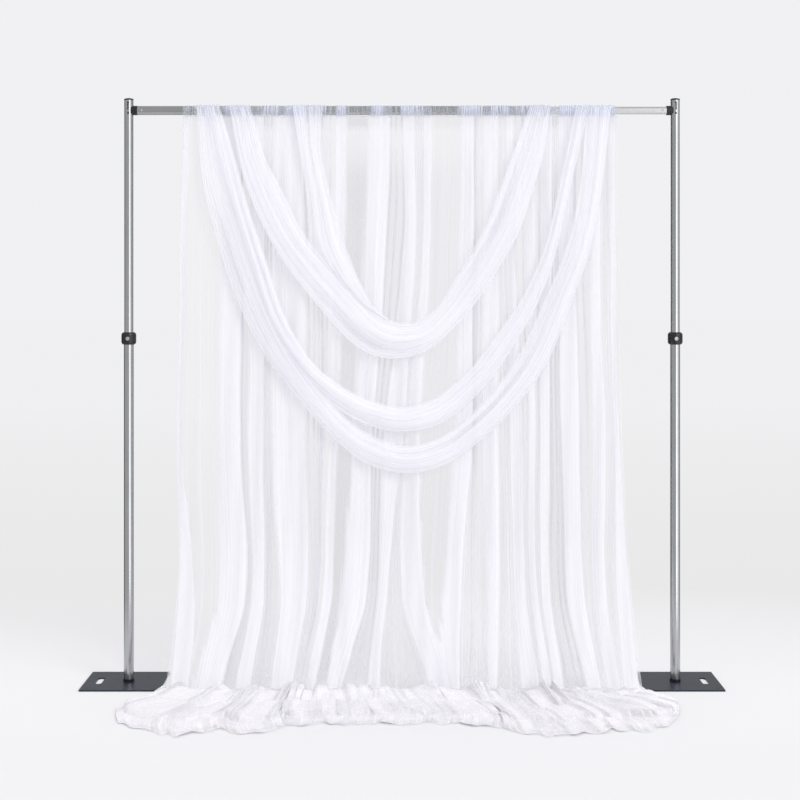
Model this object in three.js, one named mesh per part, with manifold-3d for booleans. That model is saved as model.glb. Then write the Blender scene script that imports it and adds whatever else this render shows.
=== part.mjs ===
// Pipe and drape backdrop: two telescopic uprights on flat steel bases, a telescopic crossbar
// hooked between their slotted heads, and a sheer gathered drape with three swags and a train.
// Millimetres, +Z up. X runs along the crossbar and -Y is the side that faces the room.
import * as THREE from "three";
import { mergeVertices } from "three/addons/utils/BufferGeometryUtils.js";
import Module from "manifold-3d";

const wasm = await Module();
wasm.setup();

// ---- sizes of the frame ----
const span = 2288; // between the axes of the two uprights
const gap = 0.3; // between pieces that touch
const overrun = 5; // how far a cut runs past what it cuts
const roundSides = 24;
const smallSides = 12;

const plate = {
  width: 330, depth: 300, thick: 6, corner: 4, pinInset: 15,
  slotWide: 28, slotLong: 100, slotInset: 45, holeRadius: 3, holeInset: 26,
};
const bolt = { radius: 5, headRadius: 10, headDeep: 4, length: 46, socketRadius: 3.5, socketDeep: 2.5 };
const spigot = { height: 150, chamfer: 4 };
const lowerTube = { radius: 20.65, wall: 1.2 };
const upperTube = { radius: 19.05, wall: 1.5 };
const foot = { wall: 2, lip: 1.5, height: 11, round: 1.2 };
const collar = { radius: 31, height: 52, bottom: 1414, corner: 11, dish: 3, sleeve: 16 };
const screw = { radius: 4, headRadius: 8.2, headThick: 6, socketRadius: 4, socketDeep: 3, seat: 2.5 };
const overlap = 110; // tube left inside the next one at full length
const bush = { flange: 6, length: 30, round: 1 };
const cap = { height: 9, rim: 0.9, insert: 5, rimThick: 3 };
const head = {
  top: 2446, slotWide: 7, slotTop: 16, slotLong: 34, slotCorner: 0.9,
  holeTop: 59, holeLong: 10, holeCorner: 3.2,
};

const bar = {
  radius: 19.05, wall: 1.4, innerRadius: 15.875, innerWall: 1.4,
  joint: 550, plugShow: 18, stretch: 760,
};
const barSleeve = { length: 30, lip: 3 };
const plug = { radius: 19.8, saddle: 12, insert: 36, wall: 4 };
const hook = {
  thick: 5, tall: 24, length: 52, noseTall: 15, ramp: 6,
  lipWide: 4.4, lipDrop: 12, play: 0.5, chamfer: 1.5, drop: 2,
};
const rivet = { radius: 2.5, headRadius: 4.5, headThick: 1.6, inset: 18 };

// ---- sizes of the drape ----
const drape = {
  left: -915, right: 905, hemLeft: -945, hemRight: 968, seam: 4, thick: 2,
  foldDeep: 28, topFold: 8, folds: 5, foldPoints: 6, squareShare: 0.7,
  hem: 38, bend: 640, hemForward: 290, pocketWall: 3.2, gather: 1.4, gathers: 5, pocketSides: 12,
};
const curtainRowShares = [0, 0.03, 0.12, 0.45, 0.74, 0.84, 0.92, 1];
const curtainSplitShares = [0, 1 / 3, 2 / 3, 1];
const train = {
  rear: 256, reach: 810, shelf: 72, ridge: 34, rim: 5, side: 8,
  ridges: 4, ridgePoints: 5, rows: 6, fallShare: 0.4,
};
// the train's front edge: share of half the span, share of the reach
const trainShares = [
  [-0.945, 0.5], [-0.965, 0.57], [-0.93, 0.8], [-0.81, 0.93], [-0.73, 1], [-0.6, 0.89],
  [-0.54, 0.95], [-0.45, 0.98], [-0.385, 0.84], [-0.28, 0.8], [-0.18, 0.84], [-0.06, 0.81],
  [0.05, 0.8], [0.16, 0.8], [0.26, 0.82], [0.335, 0.85], [0.4, 0.98], [0.5, 1], [0.6, 0.96],
  [0.7, 0.92], [0.81, 0.9], [0.9, 0.78], [0.945, 0.6], [0.935, 0.48],
];
// a swag's two edges, from its left end to its right end: outer x, outer z, inner x, inner z;
// x is a share of half the span, z a share of the bar's height
const swag = { thick: 3, pleat: 9, pleats: 2, steps: 20, seat: 0.4, spread: 5, lift: 14 };
const upperSwagShares = [
  [-0.655, 1, -0.57, 1], [-0.625, 0.91, -0.505, 0.87], [-0.565, 0.8, -0.43, 0.79],
  [-0.45, 0.71, -0.33, 0.72], [-0.34, 0.635, -0.235, 0.668], [-0.2, 0.578, -0.135, 0.635],
  [-0.07, 0.566, -0.05, 0.622], [0.05, 0.568, 0.045, 0.62], [0.17, 0.592, 0.11, 0.642],
  [0.3, 0.65, 0.2, 0.695], [0.4, 0.755, 0.305, 0.78], [0.485, 0.85, 0.375, 0.88],
  [0.54, 1, 0.455, 1],
];
const middleSwagShares = [
  [-0.735, 1, -0.69, 1], [-0.7, 0.83, -0.645, 0.85], [-0.625, 0.71, -0.565, 0.75],
  [-0.52, 0.6, -0.45, 0.645], [-0.39, 0.51, -0.33, 0.558], [-0.25, 0.459, -0.2, 0.513],
  [-0.08, 0.437, -0.07, 0.491], [0.07, 0.437, 0.06, 0.488], [0.22, 0.47, 0.18, 0.519],
  [0.35, 0.555, 0.305, 0.585], [0.46, 0.655, 0.41, 0.678], [0.545, 0.79, 0.505, 0.81],
  [0.64, 1, 0.585, 1],
];
const lowerSwagShares = [
  [-0.79, 1, -0.74, 1], [-0.765, 0.86, -0.705, 0.825], [-0.69, 0.72, -0.632, 0.7],
  [-0.565, 0.59, -0.53, 0.59], [-0.4, 0.465, -0.397, 0.5], [-0.23, 0.386, -0.26, 0.448],
  [-0.08, 0.366, -0.085, 0.418], [0.07, 0.368, 0.075, 0.42], [0.24, 0.392, 0.235, 0.452],
  [0.43, 0.486, 0.37, 0.54], [0.575, 0.615, 0.48, 0.64], [0.69, 0.79, 0.565, 0.775],
  [0.76, 1, 0.66, 1],
];

// ---- sizes that follow from them ----
const half = span / 2;
const tau = Math.PI * 2;
const lowerTop = collar.bottom + collar.sleeve;
const upperBottom = lowerTop - overlap;
const tubeTop = head.top - cap.height;
const lowerBore = lowerTube.radius - lowerTube.wall;
const upperBore = upperTube.radius - upperTube.wall;
const footBottom = plate.thick + gap;
const lowerBottom = footBottom + foot.lip + gap;
const barBore = bar.radius - bar.wall;
const innerBore = bar.innerRadius - bar.innerWall;
const barEnd = half - upperTube.radius - gap - bar.plugShow;
const innerEnd = bar.joint - overlap - bar.stretch;
const pinX = plate.width / 2 - plate.pinInset;
const screwHeight = collar.bottom + collar.height / 2;
const slotFloor = head.top - head.slotTop - head.slotLong;
const barHeight = slotFloor - hook.drop;
const lastWidth = curtainSplitShares.length - 2;
const standBack = (train.reach - plate.depth / 2) / 2;
const foldCrest = drape.foldDeep * Math.sin((Math.round(drape.foldPoints / 4) / drape.foldPoints) * tau);

// ---- materials ----
const metal = (color, roughness) => new THREE.MeshStandardMaterial({ color, roughness, metalness: 1 });
const matte = (color, roughness) => new THREE.MeshStandardMaterial({ color, roughness, metalness: 0 });
const looks = {
  tube: metal(0xb9babb, 0.3),
  zinc: metal(0xc4c2bd, 0.35),
  steel: matte(0x3d4147, 0.5),
  black: matte(0x121214, 0.45),
  tulle: matte(0xeeecf6, 0.85),
  sash: matte(0xf4f2fa, 0.85),
};

// ---- closed bodies and cuts ----
// one closed body whose faces point out, with shared corners merged and no collapsed faces
function closed(geometry) {
  const bare = geometry.clone();
  bare.deleteAttribute("normal");
  bare.deleteAttribute("uv");
  const merged = mergeVertices(bare);
  const spots = merged.attributes.position;
  const old = merged.index.array;
  const corner = [new THREE.Vector3(), new THREE.Vector3(), new THREE.Vector3()];
  const faces = [];
  let volume = 0;
  for (let i = 0; i < old.length; i += 3) {
    const [a, b, c] = [old[i], old[i + 1], old[i + 2]];
    if (a === b || b === c || c === a) continue;
    [a, b, c].forEach((n, k) => corner[k].fromBufferAttribute(spots, n));
    volume += corner[0].dot(corner[1].clone().cross(corner[2]));
    faces.push([a, b, c]);
  }
  merged.setIndex(faces.flatMap(([a, b, c]) => (volume < 0 ? [a, c, b] : [a, b, c])));
  merged.computeVertexNormals();
  return merged;
}

function solid(geometry) {
  const body = closed(geometry);
  return new wasm.Manifold(new wasm.Mesh({
    numProp: 3,
    vertProperties: new Float32Array(body.attributes.position.array),
    triVerts: new Uint32Array(body.index.array),
  }));
}

function shape(manifold) {
  const mesh = manifold.getMesh();
  const geometry = new THREE.BufferGeometry();
  geometry.setAttribute("position", new THREE.BufferAttribute(new Float32Array(mesh.vertProperties), 3));
  geometry.setIndex(Array.from(mesh.triVerts));
  geometry.computeVertexNormals();
  return geometry;
}

const cut = (body, ...tools) => shape(tools.reduce((left, tool) => left.subtract(solid(tool)), solid(body)));
const join = (body, ...more) => shape(more.reduce((left, piece) => left.add(solid(piece)), solid(body)));

// a profile of radius and height pairs, turned round the Z axis
function turned(pairs, sides) {
  const points = pairs.map(([radius, height]) => new THREE.Vector2(radius, height));
  return closed(new THREE.LatheGeometry(points, sides).rotateX(Math.PI / 2));
}

const ring = (inner, outer, bottom, top, sides) => turned(
  [[inner, bottom], [outer, bottom], [outer, top], [inner, top], [inner, bottom]], sides);

const alongX = (geometry) => geometry.rotateY(Math.PI / 2);

function roundedRectangle(width, height, radius, x, y) {
  const outline = new THREE.Shape();
  const [w, h] = [width / 2, height / 2];
  outline.moveTo(x - w + radius, y - h);
  outline.lineTo(x + w - radius, y - h);
  outline.absarc(x + w - radius, y - h + radius, radius, -Math.PI / 2, 0);
  outline.lineTo(x + w, y + h - radius);
  outline.absarc(x + w - radius, y + h - radius, radius, 0, Math.PI / 2);
  outline.lineTo(x - w + radius, y + h);
  outline.absarc(x - w + radius, y + h - radius, radius, Math.PI / 2, Math.PI);
  outline.lineTo(x - w, y - h + radius);
  outline.absarc(x - w + radius, y - h + radius, radius, Math.PI, Math.PI * 1.5);
  return outline;
}

function raised(outline, depth, curveSegments) {
  return closed(new THREE.ExtrudeGeometry(outline, { depth, bevelEnabled: false, curveSegments }));
}

// ---- the base: plate, spigot and the screw that holds it from below ----
// all drawn for the left side, pin at X 0 and the hand slot outboard
function plateShape() {
  const outline = roundedRectangle(plate.width, plate.depth, plate.corner, plate.width / 2 - pinX - plate.pinInset * 2, 0);
  const left = -pinX - plate.pinInset * 2;
  outline.holes.push(roundedRectangle(
    plate.slotWide, plate.slotLong, plate.slotWide / 2, left + plate.slotInset + plate.slotWide / 2, 0));
  const rows = [-1, 1].map((side) => side * (plate.depth / 2 - plate.holeInset));
  const columns = [left + plate.holeInset, 0, left + plate.width - plate.holeInset];
  for (const y of rows) {
    for (const x of columns) {
      const hole = new THREE.Path();
      hole.absarc(x, y, plate.holeRadius, 0, tau);
      outline.holes.push(hole);
    }
  }
  const seat = turned([
    [0, -overrun], [bolt.headRadius + gap, -overrun], [bolt.headRadius + gap, gap],
    [bolt.radius + gap, bolt.headDeep + gap], [bolt.radius + gap, plate.thick + overrun],
    [0, plate.thick + overrun],
  ], smallSides);
  return cut(raised(outline, plate.thick, 4), seat);
}

const boltShape = () => turned([
  [0, bolt.socketDeep], [bolt.socketRadius, bolt.socketDeep], [bolt.socketRadius, gap],
  [bolt.headRadius, gap], [bolt.radius, bolt.headDeep], [bolt.radius, bolt.length], [0, bolt.length],
], smallSides);

const spigotRadius = lowerBore - gap * 2;
const spigotShape = () => turned([
  [0, bolt.length + bolt.radius], [bolt.radius + gap, bolt.length + gap], [bolt.radius + gap, plate.thick],
  [spigotRadius, plate.thick], [spigotRadius, plate.thick + spigot.height - spigot.chamfer],
  [spigotRadius - spigot.chamfer, plate.thick + spigot.height], [0, plate.thick + spigot.height],
], roundSides);

// ---- the upright: foot ring, lower tube, clamp collar, upper tube with its slotted head ----
function footShape() {
  const inner = lowerTube.radius + gap;
  const outer = inner + foot.wall;
  return turned([
    [lowerBore, footBottom], [outer - foot.round, footBottom], [outer, footBottom + foot.round],
    [outer, footBottom + foot.height - foot.round], [outer - foot.round, footBottom + foot.height],
    [inner, footBottom + foot.height], [inner, footBottom + foot.lip], [lowerBore, footBottom + foot.lip],
    [lowerBore, footBottom],
  ], roundSides);
}

const lowerTubeShape = () => ring(lowerBore, lowerTube.radius, lowerBottom, lowerTop, roundSides);

// a barrel with rounded shoulders and dished ends, bored in two steps, with a flat under the screw
function collarShape() {
  const top = collar.bottom + collar.height;
  const shoulders = [0, 1, 2, 3].map((step) => (step / 3) * (Math.PI / 2));
  const wide = lowerTube.radius + gap;
  const narrow = upperTube.radius + gap;
  const core = collar.radius - collar.corner;
  const outer = [
    ...shoulders.map((a) => [core + collar.corner * Math.sin(a), collar.bottom + collar.corner * (1 - Math.cos(a))]),
    ...shoulders.map((a) => [core + collar.corner * Math.cos(a), top - collar.corner * (1 - Math.sin(a))]),
  ].map(([radius, height]) => [Math.max(radius, wide + gap), height]);
  const body = turned([
    [wide, collar.bottom + collar.dish], ...outer, [narrow, top - collar.dish],
    [narrow, lowerTop + gap], [wide, lowerTop + gap], [wide, collar.bottom + collar.dish],
  ], roundSides);
  const bore = turned([
    [0, 0], [screw.radius + gap, 0], [screw.radius + gap, collar.radius - screw.seat],
    [screw.headRadius + gap * 2, collar.radius - screw.seat],
    [screw.headRadius + gap * 2, collar.radius + overrun], [0, collar.radius + overrun],
  ], smallSides).rotateX(Math.PI / 2).translate(0, 0, screwHeight);
  return cut(body, bore);
}

const screwShape = () => {
  const seat = collar.radius - screw.seat + gap;
  const face = seat + screw.headThick;
  const bevel = screw.headThick / 5;
  return turned([
    [0, upperTube.radius + gap], [screw.radius, upperTube.radius + gap], [screw.radius, seat],
    [screw.headRadius, seat], [screw.headRadius, face - bevel], [screw.headRadius - bevel, face],
    [screw.socketRadius, face], [screw.socketRadius, face - screw.socketDeep], [0, face - screw.socketDeep],
  ], smallSides).rotateX(Math.PI / 2).translate(0, 0, screwHeight);
};

// the head has a long slot with a round hole below it on each of its four sides
function upperTubeShape() {
  const tube = ring(upperBore, upperTube.radius, upperBottom, tubeTop, roundSides);
  const reach = upperTube.radius * 2 + overrun;
  const punch = (top, long, corner, steps) => {
    const outline = roundedRectangle(head.slotWide, long, corner, 0, head.top - top - long / 2);
    const through = raised(outline, reach, steps).rotateX(Math.PI / 2).translate(0, reach / 2, 0);
    return [through, through.clone().rotateZ(Math.PI / 2)];
  };
  const slots = punch(head.slotTop, head.slotLong, head.slotCorner, 1);
  return cut(tube, ...slots, ...punch(head.holeTop, head.holeLong, head.holeCorner, 2));
}

const bushShape = () => {
  const wide = lowerBore - gap;
  const narrow = upperBore - gap;
  return turned([
    [0, upperBottom - gap - bush.flange], [wide - bush.round, upperBottom - gap - bush.flange],
    [wide, upperBottom - gap - bush.flange + bush.round], [wide, upperBottom - gap],
    [narrow, upperBottom - gap], [narrow, upperBottom + bush.length], [0, upperBottom + bush.length],
  ], roundSides);
};

const capShape = () => {
  const wide = upperTube.radius + cap.rim;
  const dome = [0.15, 0.4, 0.7].map((share) => [
    wide * Math.cos(share * Math.PI / 2),
    tubeTop + cap.rimThick + (cap.height - cap.rimThick) * Math.sin(share * Math.PI / 2),
  ]);
  return turned([
    [0, tubeTop - cap.insert], [upperBore - gap, tubeTop - cap.insert], [upperBore - gap, tubeTop + gap],
    [wide, tubeTop + gap], [wide, tubeTop + cap.rimThick], ...dome, [0, head.top],
  ], roundSides);
};

// ---- the crossbar: outer and inner tube, their bushes, saddle plugs, hook blades and rivets ----
const barTube = (inner, outer, from, to, holeAt) => {
  const tube = alongX(ring(inner, outer, from, to, roundSides));
  const reach = outer + overrun;
  const drill = turned([[0, -reach], [rivet.radius + gap, -reach], [rivet.radius + gap, reach], [0, reach]], smallSides)
    .rotateX(Math.PI / 2).translate(holeAt, 0, 0);
  return cut(tube, drill).translate(0, 0, barHeight);
};

const barSleeveShape = () => {
  const inner = bar.innerRadius + gap;
  const outer = barBore - gap;
  const face = bar.joint + gap;
  return alongX(turned([
    [inner, face - barSleeve.length], [outer, face - barSleeve.length], [outer, face],
    [bar.radius, face], [bar.radius, face + barSleeve.lip],
    [inner, face + barSleeve.lip], [inner, face - barSleeve.length],
  ], roundSides)).translate(0, 0, barHeight);
};

const barBushShape = () => {
  const wide = barBore - gap;
  const narrow = innerBore - gap;
  return alongX(turned([
    [0, innerEnd - gap - bush.flange], [wide, innerEnd - gap - bush.flange], [wide, innerEnd - gap],
    [narrow, innerEnd - gap], [narrow, innerEnd + bush.length], [0, innerEnd + bush.length],
  ], roundSides)).translate(0, 0, barHeight);
};

// drawn for the left end: a saddle that fits the upright, a shoulder and a stem inside the bar
function plugShape(bore) {
  const start = -half + plug.saddle;
  const shoulder = -barEnd - gap;
  const stem = bore - gap;
  const body = alongX(turned([
    [0, start], [plug.radius, start], [plug.radius, shoulder], [stem, shoulder],
    [stem, shoulder + plug.insert], [0, shoulder + plug.insert],
  ], roundSides));
  const upright = turned([
    [0, -plug.radius - overrun], [upperTube.radius + gap, -plug.radius - overrun],
    [upperTube.radius + gap, plug.radius + overrun], [0, plug.radius + overrun],
  ], roundSides).translate(-half, 0, 0);
  const wide = hook.thick + gap * 2;
  const window = new THREE.BoxGeometry(half, wide, hook.tall + gap * 2).translate(-barEnd, 0, 0);
  const crown = slotFloor + hook.noseTall + gap * 2 - barHeight;
  const mouth = new THREE.BoxGeometry(half, wide, crown)
    .translate(-half * 1.5 + upperTube.radius + hook.play + hook.ramp + gap, 0, crown / 2);
  const drill = turned([
    [0, -plug.radius], [rivet.radius + gap, -plug.radius], [rivet.radius + gap, plug.radius], [0, plug.radius],
  ], smallSides).rotateX(Math.PI / 2).translate(-barEnd + rivet.inset, 0, 0);
  return cut(body, upright, window, mouth, drill).translate(0, 0, barHeight);
}

// the blade's nose goes in over the slot's lower end and its lip drops behind the wall
function hookShape() {
  const outside = -half + upperTube.radius + gap + hook.play / 2;
  const inside = -half + upperBore - hook.play;
  const low = barHeight - hook.tall / 2;
  const high = barHeight + hook.tall / 2;
  const end = outside + hook.length;
  const floor = slotFloor + gap;
  const crown = floor + hook.noseTall;
  const outline = new THREE.Shape([
    [end, low], [end, high], [outside + hook.ramp, high], [outside, crown],
    [inside - hook.lipWide + hook.chamfer, crown], [inside - hook.lipWide, crown - hook.chamfer],
    [inside - hook.lipWide, floor - hook.lipDrop + hook.chamfer], [inside - hook.lipWide + hook.chamfer, floor - hook.lipDrop],
    [inside, floor - hook.lipDrop], [inside, floor], [outside, floor], [outside, low],
  ].map(([x, z]) => new THREE.Vector2(x, z)));
  const blade = raised(outline, hook.thick, 1).rotateX(Math.PI / 2).translate(0, hook.thick / 2, 0);
  const drill = turned([
    [0, -hook.thick], [rivet.radius + gap, -hook.thick], [rivet.radius + gap, hook.thick], [0, hook.thick],
  ], smallSides).rotateX(Math.PI / 2).translate(-barEnd + rivet.inset, 0, barHeight);
  return cut(blade, drill);
}

const rivetShape = (tubeRadius) => {
  const face = tubeRadius + gap;
  const dome = face + rivet.headThick;
  return turned([
    [0, -dome], [rivet.headRadius / 2, -dome], [rivet.headRadius, -face], [rivet.radius, -face],
    [rivet.radius, face], [rivet.headRadius, face], [rivet.headRadius / 2, dome], [0, dome],
  ], smallSides).rotateX(Math.PI / 2).translate(-barEnd + rivet.inset, 0, barHeight);
};

// ---- cloth: a grid of points with a thickness, closed round its edge ----
function clothShape(point, aside, across, along, thick) {
  const spots = [];
  for (const side of [-1, 1]) {
    for (let j = 0; j <= along; j += 1) {
      for (let i = 0; i <= across; i += 1) {
        const place = point(i / across, j / along);
        const way = aside(i / across, j / along);
        spots.push(...place.addScaledVector(way, (side * thick) / 2).toArray());
      }
    }
  }
  const row = across + 1;
  const layer = row * (along + 1);
  const faces = [];
  for (let j = 0; j < along; j += 1) {
    for (let i = 0; i < across; i += 1) {
      const a = j * row + i;
      faces.push(a, a + 1, a + row, a + 1, a + row + 1, a + row);
      const b = a + layer;
      faces.push(b, b + row, b + 1, b + 1, b + row, b + row + 1);
    }
  }
  const edge = [];
  for (let i = 0; i < across; i += 1) edge.push(i);
  for (let j = 0; j < along; j += 1) edge.push(j * row + across);
  for (let i = across; i > 0; i -= 1) edge.push(along * row + i);
  for (let j = along; j > 0; j -= 1) edge.push(j * row);
  edge.forEach((a, n) => {
    const b = edge[(n + 1) % edge.length];
    faces.push(a, a + layer, b, b, a + layer, b + layer);
  });
  const geometry = new THREE.BufferGeometry();
  geometry.setAttribute("position", new THREE.BufferAttribute(new Float32Array(spots), 3));
  geometry.setIndex(faces);
  return closed(geometry);
}

const mix = (a, b, share) => a + (b - a) * share;
const ease = (share) => share * share * (3 - 2 * share);

// a table of rows read at a share of its length, along a smooth curve
function reader(rows) {
  const columns = rows[0].map((_, n) => new THREE.SplineCurve(
    rows.map((row, k) => new THREE.Vector2(k, row[n]))));
  return (share) => columns.map((curve) => curve.getPoint(share).y);
}

// one width of the drape: a gathered pocket round the bar and upright folds down to the train
function curtainShape(panel) {
  const [from, to] = [curtainSplitShares[panel], curtainSplitShares[panel + 1]];
  const trim = drape.seam / 2;
  const topFrom = mix(drape.left, drape.right, from) + trim;
  const topTo = mix(drape.left, drape.right, to) - trim;
  const hemFrom = mix(drape.hemLeft, drape.hemRight, from) + trim;
  const hemTo = mix(drape.hemLeft, drape.hemRight, to) - trim;
  const inner = (bar.radius + gap) / Math.cos(Math.PI / drape.pocketSides);
  const outer = inner + drape.pocketWall;
  const top = barHeight - inner - drape.pocketWall / 2;
  const rows = curtainRowShares.length - 1;
  const height = (v) => {
    const at = v * rows;
    const n = Math.min(Math.floor(at), rows - 1);
    return mix(top, drape.hem, mix(curtainRowShares[n], curtainRowShares[n + 1], at - n));
  };
  const point = (u, v) => {
    const z = height(v);
    const fall = (top - z) / (top - drape.hem);
    const from0 = mix(topFrom, hemFrom, fall);
    const wide = mix(topTo, hemTo, fall) - from0;
    const turn = u * drape.folds * tau;
    const open = ease(Math.min(1, (top - z) / (drape.foldDeep * 4)));
    const deep = mix(drape.topFold, drape.foldDeep, open);
    const over = (drape.squareShare * wide) / (drape.folds * tau * 2);
    const bent = Math.max(0, (drape.bend - z) / (drape.bend - drape.hem));
    const forward = drape.hemForward * bent * bent;
    return new THREE.Vector3(from0 + wide * u - over * Math.sin(turn * 2), deep * Math.sin(turn) - forward, z);
  };
  const step = 1 / (drape.folds * drape.foldPoints * 4);
  const aside = (u, v) => {
    const along = point(Math.min(1, u + step), v).sub(point(Math.max(0, u - step), v));
    return new THREE.Vector3(-along.y, along.x, 0).normalize();
  };
  const sheet = clothShape(point, aside, drape.folds * drape.foldPoints, rows, drape.thick);
  const beads = Array.from({ length: drape.gathers * 2 + 1 }, (_, n) => [
    outer + (n % 2 ? drape.gather : -drape.gather / 2), mix(topFrom, topTo, n / (drape.gathers * 2))]);
  const pocket = alongX(turned([[inner, topFrom], ...beads, [inner, topTo], [inner, topFrom]], drape.pocketSides))
    .translate(0, 0, barHeight);
  return join(sheet, pocket);
}

// the train: low ridges that run forward from under the hem, with a level shelf where it sits
function trainShape(panel) {
  const [first, last] = [curtainSplitShares[panel], curtainSplitShares[panel + 1]]
    .map((share) => Math.round(share * (trainShares.length - 1)));
  const read = reader(trainShares.slice(first, last + 1));
  const seams = [panel > 0 ? drape.seam / 2 : -train.side, panel < lastWidth ? -drape.seam / 2 : train.side];
  const [from, to] = [curtainSplitShares[panel], curtainSplitShares[panel + 1]]
    .map((share) => mix(drape.hemLeft, drape.hemRight, share));
  const lift = drape.thick / 2;
  const point = (u, v) => {
    const [xShare, yShare] = read(u);
    const front = train.reach * Math.min(1, yShare);
    const shelf = train.shelf / (front - train.rear);
    const x = mix(mix(from, to, u), half * xShare, ease(v)) + mix(seams[0], seams[1], u);
    const seat = drape.hem - gap - drape.thick;
    const down = v <= shelf ? 0 : (v - shelf) / (1 - shelf);
    const wave = (1 - Math.cos(u * train.ridges * tau)) / 2;
    const ridge = mix(train.ridge, train.rim, down) * wave;
    const z = mix(seat, ridge, ease(Math.min(1, down / train.fallShare)));
    return new THREE.Vector3(x, -mix(train.rear, front, v), z + lift);
  };
  const up = () => new THREE.Vector3(0, 0, 1);
  return clothShape(point, up, train.ridges * train.ridgePoints, train.rows, drape.thick);
}

// a swag: a pleated length of cloth that hangs in front of the folds from one side to the other
function swagShape(table) {
  const read = reader(table);
  const across = swag.pleats * 2 + 1;
  const back = foldCrest + drape.thick / 2 + swag.seat;
  const point = (u, v) => {
    const [outX, outZ, inX, inZ] = read(v);
    const crown = barHeight + swag.lift;
    const fold = u * across;
    const crease = swag.pleat * Math.abs((fold % 2) - 1);
    const fill = Math.sin(Math.PI * v) * swag.spread;
    return new THREE.Vector3(
      half * mix(outX, inX, u), -back - swag.thick / 2 - crease - fill * Math.sin(Math.PI * u),
      crown * mix(outZ, inZ, u));
  };
  return clothShape(point, () => new THREE.Vector3(0, 1, 0), across, swag.steps, swag.thick);
}

// ---- assembly ----
const backdrop = new THREE.Group();
const stand = new THREE.Group();
stand.position.y = standBack;
backdrop.add(stand);

function place(group, name, geometry, look) {
  const mesh = new THREE.Mesh(geometry, look);
  mesh.name = name;
  group.add(mesh);
}

const uprights = { left: -1, right: 1 };
for (const [name, side] of Object.entries(uprights)) {
  const upright = new THREE.Group();
  upright.position.x = side * half;
  stand.add(upright);
  const turn = side > 0 ? Math.PI : 0;
  const plateGeometry = plateShape().rotateZ(turn);
  place(upright, `${name}_base_plate`, plateGeometry, looks.steel);
  place(upright, `${name}_base_screw`, boltShape(), looks.zinc);
  place(upright, `${name}_spigot`, spigotShape(), looks.zinc);
  place(upright, `${name}_foot_ring`, footShape(), looks.black);
  place(upright, `${name}_lower_tube`, lowerTubeShape(), looks.tube);
  place(upright, `${name}_clamp_collar`, collarShape(), looks.black);
  place(upright, `${name}_clamp_screw`, screwShape(), looks.zinc);
  place(upright, `${name}_upper_tube`, upperTubeShape(), looks.tube);
  place(upright, `${name}_guide_bush`, bushShape(), looks.black);
  place(upright, `${name}_top_cap`, capShape(), looks.black);
}

const mirrored = (geometry) => geometry.rotateZ(Math.PI);
place(stand, "bar_outer_tube", barTube(barBore, bar.radius, -barEnd, bar.joint, -barEnd + rivet.inset), looks.tube);
place(stand, "bar_inner_tube", barTube(innerBore, bar.innerRadius, innerEnd, barEnd, barEnd - rivet.inset), looks.tube);
place(stand, "bar_sleeve", barSleeveShape(), looks.black);
place(stand, "bar_bush", barBushShape(), looks.black);
place(stand, "left_saddle_plug", plugShape(barBore), looks.black);
place(stand, "left_hook_blade", hookShape(), looks.zinc);
place(stand, "left_hook_rivet", rivetShape(bar.radius), looks.zinc);
place(stand, "right_saddle_plug", mirrored(plugShape(innerBore)), looks.black);
place(stand, "right_hook_blade", mirrored(hookShape()), looks.zinc);
place(stand, "right_hook_rivet", mirrored(rivetShape(bar.innerRadius)), looks.zinc);

["left", "centre", "right"].forEach((name, panel) => {
  place(stand, `curtain_${name}`, curtainShape(panel), looks.tulle);
  place(stand, `train_${name}`, trainShape(panel), looks.tulle);
});
place(stand, "swag_upper", swagShape(upperSwagShares), looks.sash);
place(stand, "swag_middle", swagShape(middleSwagShares), looks.sash);
place(stand, "swag_lower", swagShape(lowerSwagShares), looks.sash);

export default backdrop;
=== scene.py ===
# %% [markdown]
# A pipe and drape backdrop: two telescopic silver uprights on flat steel plates, a crossbar
# hooked between them, and sheer white tulle gathered on the bar, with three swags and a train.
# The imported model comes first. Its solids are the hard parts at their real size, so the metal
# and plastic keep those shapes and only get finishes, while every length of cloth is made
# again here as a thin sheet with real folds.

# %% Load the frame
import math

import bpy
import numpy as np
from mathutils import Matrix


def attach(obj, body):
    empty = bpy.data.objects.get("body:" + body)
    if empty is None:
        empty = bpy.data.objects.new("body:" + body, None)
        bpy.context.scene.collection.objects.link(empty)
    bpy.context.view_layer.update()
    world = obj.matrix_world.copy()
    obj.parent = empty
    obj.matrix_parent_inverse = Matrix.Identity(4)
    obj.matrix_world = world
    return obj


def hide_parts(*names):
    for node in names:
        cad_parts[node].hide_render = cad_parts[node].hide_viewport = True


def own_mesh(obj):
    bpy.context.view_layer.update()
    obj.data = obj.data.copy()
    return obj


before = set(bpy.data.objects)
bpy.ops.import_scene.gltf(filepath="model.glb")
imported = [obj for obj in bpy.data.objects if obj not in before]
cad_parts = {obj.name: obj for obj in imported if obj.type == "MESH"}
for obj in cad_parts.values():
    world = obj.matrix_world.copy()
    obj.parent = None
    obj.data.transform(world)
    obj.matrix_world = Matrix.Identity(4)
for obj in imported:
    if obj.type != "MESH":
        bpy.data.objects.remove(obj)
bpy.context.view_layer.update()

# %% [markdown]
# The camera stands at eye level, six and a half metres in front of the poles, and looks level.
# A level camera keeps the poles upright in the picture, so the picture is moved down with the
# lens shift and not by tilting the camera, as a photographer of furniture does.

# %% Camera
pole_line = 0.33
camera_away = 6.5
eye_height = 1.681
camera = bpy.data.objects.new("camera", bpy.data.cameras.new("camera"))
camera.location = (0, pole_line - camera_away, eye_height)
camera.rotation_euler = (math.radians(90), 0, 0)
camera.data.sensor_width = 36
camera.data.lens = 69.84
camera.data.shift_x = -0.0025
camera.data.shift_y = -0.149
bpy.context.scene.collection.objects.link(camera)
bpy.context.scene.camera = camera
print("camera at", tuple(camera.location))

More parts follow.
